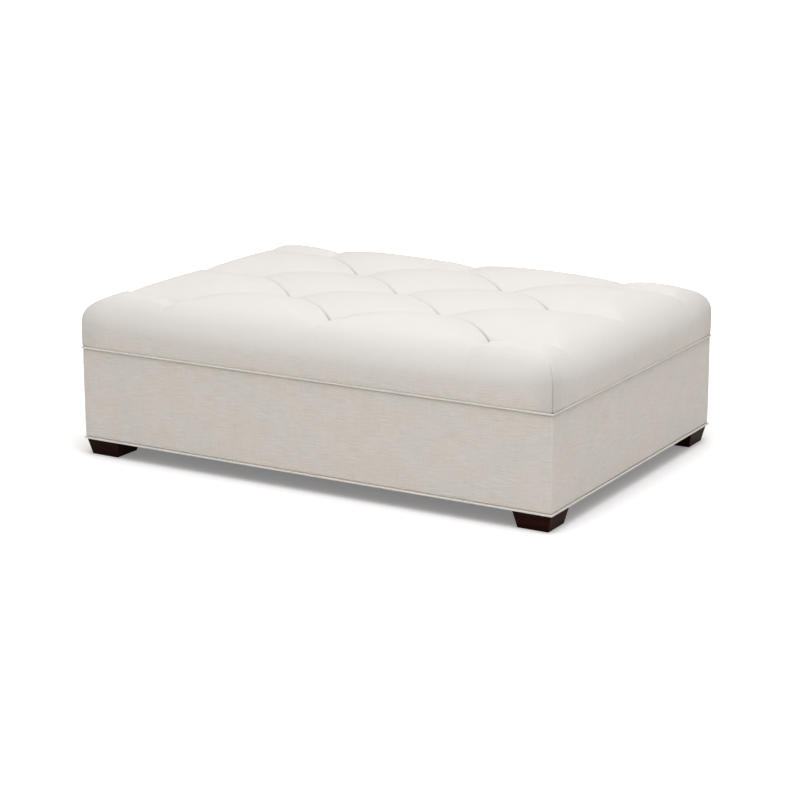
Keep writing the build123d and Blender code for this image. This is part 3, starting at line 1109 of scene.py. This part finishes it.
    def hang_sides(self) -> None:
        """Note where each vertex of the plan lies, and hang the sides from its rim."""
        for vert in self.skin.verts:
            plan = vert.co.xy
            self.spots[vert] = Spot(plan, self.on_cloth(*plan), self.shape.top(*plan))
        rim = [edge for edge in self.skin.edges if edge.is_boundary]
        above = {vert.co.to_tuple(6): self.spots[vert] for edge in rim for vert in edge.verts}
        for row in range(1, self.side_rows + 1):
            fresh, rim = extruded(self.skin, rim)
            for vert in fresh:
                start = above[vert.co.to_tuple(6)]
                hang = (start.level - self.foot) * row / self.side_rows
                self.spots[vert] = Spot(start.plan, start.cloth, start.level - hang, hang)

    def write_cloth(self) -> None:
        """Write each vertex's place on the flat cloth to a UV map, in metres."""
        layer = self.skin.loops.layers.uv.new("cloth")
        for face in self.skin.faces:
            plans = [self.spots[vert].plan for vert in face.verts]
            middle = [sum(plan[axis] for plan in plans) / len(plans) for axis in (0, 1)]
            from_side, from_front = self.shape.insets(*middle)
            axis = 0 if from_side < from_front else 1
            for loop in face.loops:
                spot = self.spots[loop.vert]
                place = spot.cloth.copy()
                place[axis] += math.copysign(spot.hang, middle[axis])
                loop[layer].uv = place

    def settle(self) -> None:
        """Raise the puffs, press the folds and seams in, paint shade in them and in low places, and
        let the cloth lie unevenly.
        """
        shape = self.shape
        for vert, spot in self.spots.items():
            vert.co = Vector((*shape.rounded(*spot.plan, spot.level), spot.level))
        self.skin.normal_update()
        painted_crease_shade, low = (self.skin.verts.layers.float[mask] for mask in ("painted_crease_shade", "low"))
        shoulder = shape.shoulder_level - shape.shoulder_sag
        for vert, spot in self.spots.items():
            below = max(shoulder - spot.level, 0.0) / (shoulder - self.foot)
            above = 1 - below
            insets = shape.insets(*spot.plan)
            depth, shade = shape.fold(*spot.plan)
            groove = self.seam(*insets)
            # Painted shadow along the creases and in the seams' grooves, fading down the sides
            seam_shade = -self.seam_shade * groove / self.seam_depth
            vert[painted_crease_shade] = max(shade * above**self.painted_crease_shade_fade, seam_shade)
            # Painted shade in the low places between the puffs, fading down the sides
            puff = shape.quilting(*shape.steps(*spot.plan))
            vert[low] = (1 - puff) ** self.painted_low_shade_power * above**self.painted_low_shade_fade
            place = Vector((*spot.plan, spot.level))
            wave = noise.noise(place * Vector(self.waves) + Vector(self.wave_start))
            shift = groove - depth * above**self.fold_fade + self.waviness * wave
            shift += self.bulge * smooth_step(sum(insets) / self.bulge_hold) * math.sqrt(below)
            shift -= self.turn_in * smooth_step(1 - above / self.turn_share)
            vert.co += vert.normal * (shift - self.inset)

    def make(self) -> BMesh:
        """Make the layer.

        Returns:
            Its skin, open at the bottom.
        """
        self.draw_plan()
        self.split_corners()
        self.hang_sides()
        self.write_cloth()
        self.settle()
        return self.skin

    def seam(self, from_side: float, from_front: float) -> float:
        """Return the shift of a corner's seam: a narrow groove between two low ridges.

        Args:
            from_side: The distance in from the short face.
            from_front: The distance in from the long face.

        Returns:
            The shift outwards.
        """
        off = abs(from_side - from_front)
        fade = 1 - smooth_step(max(from_side, from_front) / self.seam_run - 1)
        ridge = self.ridge_height * bell(off - self.ridge_place, self.ridge_width)
        return (ridge - self.seam_depth * bell(off, self.seam_width)) * fade


@dataclass
class TuftedCushion:
    """The cushion: a linen cover sewn down at thirteen places over wadding and foam."""

    shape: CushionShape
    linen: Material
    cover_thickness: float = 2 * MM
    wadding_thickness: float = 10 * MM
    layer_gap: float = 0.3 * MM
    lip_width: float = 24 * MM
    deck_bottom: float = 282.5 * MM
    deck_top: float = 297.5 * MM
    # How many faces each patch has along a pleat, and each side from top to bottom
    cover_faces: tuple[int, int] = (36, 11)
    inner_faces: tuple[int, int] = (14, 4)

    def cover(self) -> None:
        """Make the cover, with its lip turned under the deck."""
        bm = QuiltedLayer(self.shape, 0.0, self.shape.bottom, *self.cover_faces).make()
        limit_x = self.shape.half_length - self.lip_width
        limit_y = self.shape.half_depth - self.lip_width
        for vert in extruded(bm, [edge for edge in bm.edges if edge.is_boundary])[0]:
            vert.co.x = min(max(vert.co.x, -limit_x), limit_x)
            vert.co.y = min(max(vert.co.y, -limit_y), limit_y)
        bmesh.ops.remove_doubles(bm, verts=bm.verts, dist=0.01 * MM)
        nodes = ["tufted_cover"]
        piece = placed("linen_cover", bm, self.linen, nodes, self.cover_thickness)

    def wadding(self) -> None:
        """Make the sheet of wadding under the cover."""
        inset = self.cover_thickness + self.layer_gap
        bm = QuiltedLayer(self.shape, inset, self.deck_bottom, *self.inner_faces).make()
        thickness = self.wadding_thickness - 2 * self.layer_gap
        nodes = ["cushion_batting"]
        piece = placed("cushion_wadding", bm, WADDING.make(), nodes, thickness)

    def foam(self) -> None:
        """Make the foam block, closed flat on the deck."""
        inset = self.cover_thickness + self.wadding_thickness + self.layer_gap
        bm = QuiltedLayer(self.shape, inset, self.deck_top, *self.inner_faces).make()
        rim = [edge for edge in bm.edges if edge.is_boundary]
        for edge in rim:
            for vert in edge.verts:
                vert.co.z = self.deck_top
        bmesh.ops.edgeloop_fill(bm, edges=rim)
        bmesh.ops.recalc_face_normals(bm, faces=bm.faces)
        piece = placed("seat_foam", bm, SEAT_FOAM.make(), ["cushion_foam"])

    def build(self) -> None:
        """Make every layer of the cushion."""
        self.cover()
        self.wadding()
        self.foam()


@dataclass
class Welt:
    """A welt: a bias-cut cloth tube with its flange, round the whole table."""

    name: str
    node: str
    linen: Material
    level: float
    flange_bottom: float
    radius: float = 2.5 * MM
    corner_radius: float = 3 * MM
    flange_width: float = 20 * MM
    flange_thickness: float = 1 * MM
    flange_inset: float = 2.75 * MM
    sides: int = 14
    steps: int = 48
    corner_steps: int = 6
    waviness: float = 0.25 * MM
    waves: float = 38.0

    def tube(self) -> BMesh:
        """Make the round tube, straight along the faces and spun round the corners.

        Returns:
            The tube.
        """
        bm = bmesh.new()
        half_x = LENGTH / 2 - self.radius
        half_y = DEPTH / 2 - self.radius
        start = Matrix.Translation((self.corner_radius - half_x, -half_y, self.level))
        across = Matrix.Rotation(RIGHT_ANGLE, 4, "Y")
        ring = bmesh.ops.create_circle(
            bm, cap_ends=False, segments=self.sides, radius=self.radius, matrix=start @ across
        )
        ends = list({edge for vert in ring["verts"] for edge in vert.link_edges})
        for turn in range(4):
            heading = Matrix.Rotation(turn * RIGHT_ANGLE, 3, "Z")
            ahead, aside = (half_x, half_y) if turn % 2 == 0 else (half_y, half_x)
            run = 2 * (ahead - self.corner_radius)
            for _ in range(self.steps):
                verts, ends = extruded(bm, ends)
                bmesh.ops.translate(bm, verts=verts, vec=heading @ Vector((run / self.steps, 0, 0)))
            centre = heading @ Vector((run / 2, self.corner_radius - aside, self.level))
            arc = {"cent": centre, "axis": (0, 0, 1), "angle": RIGHT_ANGLE, "use_merge": False}
            spun = bmesh.ops.spin(bm, geom=ends, steps=self.corner_steps, **arc)["geom_last"]
            ends = [part for part in spun if isinstance(part, BMEdge)]
        bmesh.ops.remove_doubles(bm, verts=bm.verts, dist=0.05 * MM)
        bmesh.ops.recalc_face_normals(bm, faces=bm.faces)
        bm.normal_update()
        # The cloth lies a little unevenly over its cord
        for vert in bm.verts:
            vert.co += vert.normal * noise.noise(vert.co * self.waves) * self.waviness
        return bm

    def flange(self) -> Mesh:
        """Make the flat flange, four mitred strips that are stapled between the boards.

        Returns:
            The flange's own mesh.
        """
        flat = bmesh.new()
        length, depth = LENGTH - 2 * self.flange_inset, DEPTH - 2 * self.flange_inset
        add_rectangle(flat, length, depth, self.flange_bottom)
        faces = list(flat.faces)
        bmesh.ops.inset_region(flat, faces=faces, thickness=self.flange_width)
        bmesh.ops.delete(flat, geom=faces, context="FACES")
        strips = list(flat.faces)
        made = bmesh.ops.extrude_face_region(flat, geom=strips, use_keep_orig=True)["geom"]
        raised = [part for part in made if isinstance(part, BMVert)]
        bmesh.ops.translate(flat, verts=raised, vec=(0, 0, self.flange_thickness))
        bmesh.ops.recalc_face_normals(flat, faces=flat.faces)
        mesh = bpy.data.meshes.new("flange")
        flat.to_mesh(mesh)
        flat.free()
        return mesh

    def build(self) -> None:
        """Make the welt as one piece."""
        bm = self.tube()
        flange = self.flange()
        bm.from_mesh(flange)
        bpy.data.meshes.remove(flange)
        placed(self.name, bm, self.linen, [self.node])


@dataclass
class BoxCloth:
    """The cloth of the box's four sides, pulled tight over its band of wadding."""

    linen: Material
    half_length: float = 656.8 * MM
    half_depth: float = 453.3 * MM
    bottom: float = 47 * MM
    top: float = 275.5 * MM
    rows: int = 22
    crowding: float = 0.75
    side_faces: int = 60
    corner_faces: int = 5
    corner_radius: float = 4.5 * MM
    thickness: float = 1.5 * MM
    # The cloth is full between its edges, and turns in at them
    swell: float = 0.7 * MM
    swell_reach: float = 40 * MM
    turn_in: float = 1.1 * MM
    turn_height: float = 5 * MM
    waviness: float = 0.5 * MM
    wave_reach: float = 20 * MM
    waves: float = 6.0
    wave_start: tuple[float, float, float] = (4.2, 1.7, 8.8)
    # Where the pattern starts on the long and the short sides' cloth
    long_start: tuple[float, float] = (3.7, 0.0)
    short_start: tuple[float, float] = (9.1, 1.3)
    wadding_gap: float = 0.2 * MM
    wadding_thickness: float = 4.6 * MM
    wadding_levels: tuple[float, ...] = (45 * MM, 120 * MM, 200 * MM, 279.5 * MM)

    def band(self, inset: float, radius: float, levels: Sequence[float]) -> BMesh:
        """Raise the box's rounded outline through the given levels.

        Args:
            inset: How far inside the cloth's face it lies.
            radius: The corners' radius.
            levels: The heights of its rows, from the bottom up.

        Returns:
            The band.
        """
        bm = bmesh.new()
        length, depth = 2 * (self.half_length - inset), 2 * (self.half_depth - inset)
        corners = add_rectangle(bm, length, depth, levels[0])
        faces = {"segments": self.corner_faces, "profile": 0.5, "affect": "VERTICES"}
        bmesh.ops.bevel(bm, geom=corners, offset=radius, **faces)
        bmesh.ops.delete(bm, geom=list(bm.faces), context="FACES_ONLY")
        straight = [edge for edge in bm.edges if edge.calc_length() > radius]
        bmesh.ops.subdivide_edges(bm, edges=straight, cuts=self.side_faces - 1)
        edges = list(bm.edges)
        for level in levels[1:]:
            verts, edges = extruded(bm, edges)
            for vert in verts:
                vert.co.z = level
        bmesh.ops.recalc_face_normals(bm, faces=bm.faces)
        probe = max(bm.faces, key=lambda face: face.calc_center_median().x)
        if probe.normal.x < 0:
            bmesh.ops.reverse_faces(bm, faces=bm.faces)
        return bm

    def write_cloth(self, bm: BMesh) -> None:
        """Write the place on the flat cloth to a UV map, in metres.

        Args:
            bm: The band.
        """
        layer = bm.loops.layers.uv.new("cloth")
        for face in bm.faces:
            long_side = abs(face.normal.y) >= abs(face.normal.x)
            axis, start = (0, self.long_start) if long_side else (1, self.short_start)
            for loop in face.loops:
                place = loop.vert.co
                loop[layer].uv = (place[axis] + start[0], place.z + start[1])

    def build(self) -> None:
        """Make the cloth and the wadding behind it."""
        height = self.top - self.bottom
        levels = [self.bottom + height * share for share in eased(self.rows, self.crowding)]
        bm = self.band(0.0, self.corner_radius, levels)
        self.write_cloth(bm)
        bm.normal_update()
        for vert in bm.verts:
            near = min(vert.co.z - self.bottom, self.top - vert.co.z)
            shift = self.swell * smooth_step(near / self.swell_reach)
            wave = noise.noise(vert.co * self.waves + Vector(self.wave_start))
            shift += self.waviness * wave * smooth_step(near / self.wave_reach)
            shift -= self.turn_in * max(1 - near / self.turn_height, 0.0) ** 2
            vert.co += vert.normal * shift
        sides = [f"side_cover_{side}" for side in ("front", "back", "left", "right")]
        piece = placed("box_linen", bm, self.linen, sides, self.thickness)

        inset = self.thickness + self.wadding_gap
        fluff = self.band(inset, self.corner_radius / 2, self.wadding_levels)
        stuff, thickness = SIDE_WADDING.make(), self.wadding_thickness
        pad = placed("box_wadding", fluff, stuff, ["side_batting"], thickness)


@dataclass
class BlockFoot:
    """A tapered block foot, wider at its top, with crisp edges just broken."""

    name: str
    node: str
    wood: Material
    x: float
    y: float
    bottom_width: float = 79 * MM
    top_width: float = 98 * MM
    height: float = 43 * MM
    edge_break: float = 1.1 * MM
    break_faces: int = 3

    def build(self) -> None:
        """Make the foot."""
        bm = bmesh.new()
        bmesh.ops.create_cube(bm, size=1.0)
        for vert in bm.verts:
            x, y, z = vert.co
            width = self.top_width if z > 0 else self.bottom_width
            vert.co = Vector((self.x + x * width, self.y + y * width, (z + 0.5) * self.height))
        faces = {"segments": self.break_faces, "profile": 0.5, "affect": "EDGES"}
        bmesh.ops.bevel(bm, geom=list(bm.edges), offset=self.edge_break, **faces)
        bmesh.ops.recalc_face_normals(bm, faces=bm.faces)
        piece = placed(self.name, bm, self.wood, [self.node])
        # The broken edges alone are smooth, so that the block's faces stay flat
        largest_break = self.edge_break * self.top_width / 2
        for polygon in piece.data.polygons:
            polygon.use_smooth = polygon.area < largest_break


@dataclass
class DustCover:
    """The thin black cloth under the box and the staples that hold its edge."""

    steel: Material
    half_length: float = 646.5 * MM
    half_depth: float = 443 * MM
    bottom: float = 43 * MM
    thickness: float = 1 * MM
    sag: float = 3 * MM
    waviness: float = 0.8 * MM
    waves: tuple[float, float, float] = (5.0, 4.0, 0.0)
    wave_start: tuple[float, float, float] = (0.0, 0.0, 2.5)
    faces: tuple[int, int] = (52, 36)
    staple_pitch: float = 52 * MM
    staple_inset: float = 12 * MM
    staple_width: float = 11 * MM
    # The staples stop where the feet cover the edge
    reach_x: float = 545 * MM
    reach_y: float = 345 * MM
    wire: float = 1.2 * MM
    crown: float = 0.8 * MM
    crown_sunk: float = 0.3
    crown_taper: float = 0.82

    def cloth(self) -> None:
        """Make the stretched cloth, which sags a little between its edges."""
        bm = bmesh.new()
        bmesh.ops.create_grid(bm, x_segments=self.faces[0], y_segments=self.faces[1], size=1.0)
        for vert in bm.verts:
            x, y = vert.co.xy
            slack = (1 - x**2) * (1 - y**2)
            wave = noise.noise(vert.co * Vector(self.waves) + Vector(self.wave_start))
            wave *= math.sqrt(max(slack, 0))
            level = self.bottom + self.thickness - self.sag * slack + self.waviness * wave
            vert.co = Vector((x * self.half_length, y * self.half_depth, level))
        stuff = DUST_CLOTH.make()
        piece = placed("dust_cloth", bm, stuff, ["dust_cover"], self.thickness)

    def staple_places(self) -> list[Matrix]:
        """Space the staples along the edges of the cloth.

        Returns:
            Each one's place, turned along its edge.
        """
        edge_x = self.half_length - self.staple_inset
        edge_y = self.half_depth - self.staple_inset
        places = []
        for turn, along, across, reach in (
            (0.0, edge_x, edge_y, self.reach_x),
            (RIGHT_ANGLE, edge_y, edge_x, self.reach_y),
        ):
            turned = Matrix.Rotation(turn, 4, "Z")
            count = round(2 * along / self.staple_pitch)
            steps = (-along + 2 * along * step / count for step in range(count + 1))
            places += [
                turned @ Matrix.Translation((step, side, self.bottom))
                for step in steps
                if abs(step) < reach
                for side in (across, -across)
            ]
        return places

    def staples(self) -> None:
        """Make the staples' crowns, each a short flat wire with its ends turned in."""
        bm = bmesh.new()
        for place in self.staple_places():
            for vert in bmesh.ops.create_cube(bm, size=1.0)["verts"]:
                x, y, z = vert.co
                narrow = self.crown_taper if z < 0 else 1.0
                height = (z - self.crown_sunk) * self.crown
                vert.co = place @ Vector(
                    (x * self.staple_width * narrow, y * self.wire * narrow, height)
                )
        placed("dust_cloth_staples", bm, self.steel)

    def build(self) -> None:
        """Make the cloth and its staples."""
        self.cloth()
        self.staples()


@dataclass
class Carcass:
    """The frame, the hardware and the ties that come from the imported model."""

    nodes: dict[str, Object]
    steel: Material

    def dress(self) -> None:
        """Give every node that stays its finish."""
        corners = [f"{face}_{side}" for face in ("front", "back") for side in ("left", "right")]
        boards = ["deck_board", "stretcher_left", "stretcher_right"]
        boards += [f"foot_plate_{corner}" for corner in corners]
        blocks = [f"corner_block_{corner}" for corner in corners]
        hardware = ["foot_bolts", "foot_nuts", "frame_screws", "deck_brackets", "bracket_screws"]
        finishes = (
            (Plywood("plywood_short_walls", Axis.X, Axis.Y).make(), ["left_apron", "right_apron"]),
            (Plywood("plywood_long_walls", Axis.Y, Axis.X).make(), ["front_apron", "back_apron"]),
            (Plywood("plywood_boards", Axis.Z, Axis.X).make(), boards),
            (PlanedPine("pine_rails", Axis.Y).make(), ["cross_rail_left", "cross_rail_right"]),
            (PlanedPine("pine_blocks", Axis.Z).make(), blocks),
            (TUFTING_TWINE.make(), ["tuft_twines"]),
            (MOULDED_NYLON.make(), ["tuft_washers"]),
            (PAPER_CORD.make(), ["upper_welt_cord", "lower_welt_cord"]),
            (self.steel, hardware),
        )
        for material, names in finishes:
            for name in names:
                mesh = self.nodes[name].data
                mesh.materials.clear()
                mesh.materials.append(material)
            log.info("%s: %s", material.name, ", ".join(names))


@dataclass
class Studio:
    """A white floor, soft light from above and the photograph's camera."""

    azimuth: float = math.radians(30.41305714)
    elevation: float = math.radians(14.65386797)
    roll: float = math.radians(-0.13794299)
    lens: float = 95.599
    position: tuple[float, float, float] = (2.654571, -4.521382, 1.495030)
    floor_half: float = 30.0
    floor_colour: str = "#F2F2F2"
    # The floor's own shine, weak in the table's shadow and full outside it
    shade_from: float = 650 * MM
    shade_to: float = 1700 * MM
    shade_shine: float = 0.2
    dome_colour: str = "#FFFAF3"
    dome_strength: float = 0.41
    aim: tuple[float, float, float] = (0, 0, 0.3)

    def camera(self) -> None:
        """Place the camera as the photograph's was."""
        turned = Matrix.Rotation(self.azimuth, 4, "Z")
        turned @= Matrix.Rotation(RIGHT_ANGLE - self.elevation, 4, "X")
        turned @= Matrix.Rotation(self.roll, 4, "Z")
        data = bpy.data.cameras.new("camera")
        data.lens = self.lens
        data.sensor_width = 36
        data.clip_start = 0.05
        data.clip_end = 200
        camera = in_scene("camera", data)
        camera.matrix_world = Matrix.Translation(self.position) @ turned
        bpy.context.scene.camera = camera

    def backdrop_rays(self, tree: NodeTree) -> NodeSocket:
        """Tell the rays that show the white backdrop from those that light the table.

        Args:
            tree: The floor's or the world's tree.

        Returns:
            A socket that is 1 for the camera's rays, straight or by way of a gloss or a glass.
        """
        rays = add_node(tree, "ShaderNodeLightPath").outputs
        seen = rays["Is Camera Ray"]
        for kind in ("Is Glossy Ray", "Is Transmission Ray"):
            inputs = {0: seen, 1: rays[kind]}
            seen = add_node(tree, "ShaderNodeMath", inputs, operation="MAXIMUM").outputs[0]
        return seen

    def floor(self) -> None:
        """Lay the white floor, which the camera sees as pure white outside the shadow."""
        bm = bmesh.new()
        bmesh.ops.create_grid(bm, x_segments=2, y_segments=2, size=self.floor_half)
        constants = {
            "Base Color": linear(self.floor_colour), "Roughness": 0.9, "Specular IOR Level": 0.0
        }
        material, tree, shader = new_material("white_floor", constants)
        place = add_node(tree, "ShaderNodeTexCoord").outputs["Object"]
        distance = add_node(tree, "ShaderNodeVectorMath", {0: place}, operation="LENGTH")
        far = add_node(
            tree,
            "ShaderNodeMapRange",
            {
                "Value": distance.outputs["Value"],
                "From Min": self.shade_from,
                "From Max": self.shade_to,
                "To Min": self.shade_shine,
                "To Max": 1.0,
            },
            interpolation_type="SMOOTHSTEP",
        ).outputs[0]
        inputs = {0: self.backdrop_rays(tree), 1: far}
        glow = add_node(tree, "ShaderNodeMath", inputs, operation="MULTIPLY").outputs[0]
        shine = add_node(tree, "ShaderNodeEmission", {"Color": (1, 1, 1, 1), "Strength": glow})
        both = add_node(tree, "ShaderNodeAddShader", {0: shader.outputs[0], 1: shine.outputs[0]})
        tree.links.new(both.outputs[0], tree.nodes["Material Output"].inputs["Surface"])
        shown("floor", bm, material)

    def world(self) -> None:
        """Fill the room with white light, and show pure white where nothing stands."""
        world = bpy.data.worlds.new("studio")
        world.use_nodes = True
        bpy.context.scene.world = world
        tree = world.node_tree
        tree.nodes.clear()
        dome, white = (
            add_node(tree, "ShaderNodeBackground", {"Color": colour, "Strength": strength})
            for colour, strength in (
                (linear(self.dome_colour), self.dome_strength), ((1, 1, 1, 1), 1.0)
            )
        )
        inputs = {0: self.backdrop_rays(tree), 1: dome.outputs[0], 2: white.outputs[0]}
        mixed = add_node(tree, "ShaderNodeMixShader", inputs)
        add_node(tree, "ShaderNodeOutputWorld", {"Surface": mixed.outputs[0]})

    def lamp(
        self, name: str, place: tuple[float, float, float], size: float, power: float, colour: str
    ) -> None:
        """Hang a large soft lamp that faces the table.

        Args:
            name: The lamp's name.
            place: Where it hangs.
            size: The side of its square.
            power: Its power in watts.
            colour: The colour of its light.
        """
        data = bpy.data.lights.new(name, "AREA")
        data.shape = "SQUARE"
        data.size = size
        data.energy = power
        data.color = linear(colour)[:3]
        lamp = in_scene(name, data)
        lamp.location = place
        lamp.rotation_mode = "QUATERNION"
        ahead = Vector(self.aim) - Vector(place)
        lamp.rotation_quaternion = ahead.to_track_quat("-Z", "Y")

    def build(self) -> None:
        """Set up the whole studio."""
        self.camera()
        self.floor()
        self.world()
        self.lamp("key", (0.75, -1.2, 4.2), 3.4, 148, "#F9FAFF")
        self.lamp("back fill", (-0.3, 2.6, 3.6), 3.0, 32, "#FFFFFF")
        bpy.context.scene.view_settings.view_transform = "Standard"


def main() -> None:
    """Build the table and its studio in order."""
    logging.basicConfig(level=logging.INFO, format="%(name)s %(message)s")
    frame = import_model()
    steel = ZincSteel().make()
    linen = WovenLinen("ivory_linen").make()
    # The welts' linen is a lighter copy of the cover's, a painted highlight that makes the welts
    # look brighter
    bias = WovenLinen(
        "bias_cut_linen_painted_lighter", Cut.BIAS, ground="#EEEAE3", slub_dark="#D8D0C4", warm="#EEE4D8"
    ).make()
    Studio().build()
    TuftedCushion(CushionShape(), linen).build()
    Welt("upper_welt_linen", "upper_welt", bias, 278 * MM, 279.5 * MM).build()
    Welt("lower_welt_linen", "lower_welt", bias, 44.5 * MM, 44 * MM).build()
    BoxCloth(linen).build()
    wood = StainedHardwood().make()
    for face, y in (("front", -FOOT_Y), ("back", FOOT_Y)):
        for side, x in (("left", -FOOT_X), ("right", FOOT_X)):
            BlockFoot(f"block_foot_{face}_{side}", f"foot_{face}_{side}", wood, x, y).build()
    DustCover(steel).build()
    Carcass(frame["nodes"], steel).dress()
    log.info("sizes written")


if __name__ == "__main__":
    main()
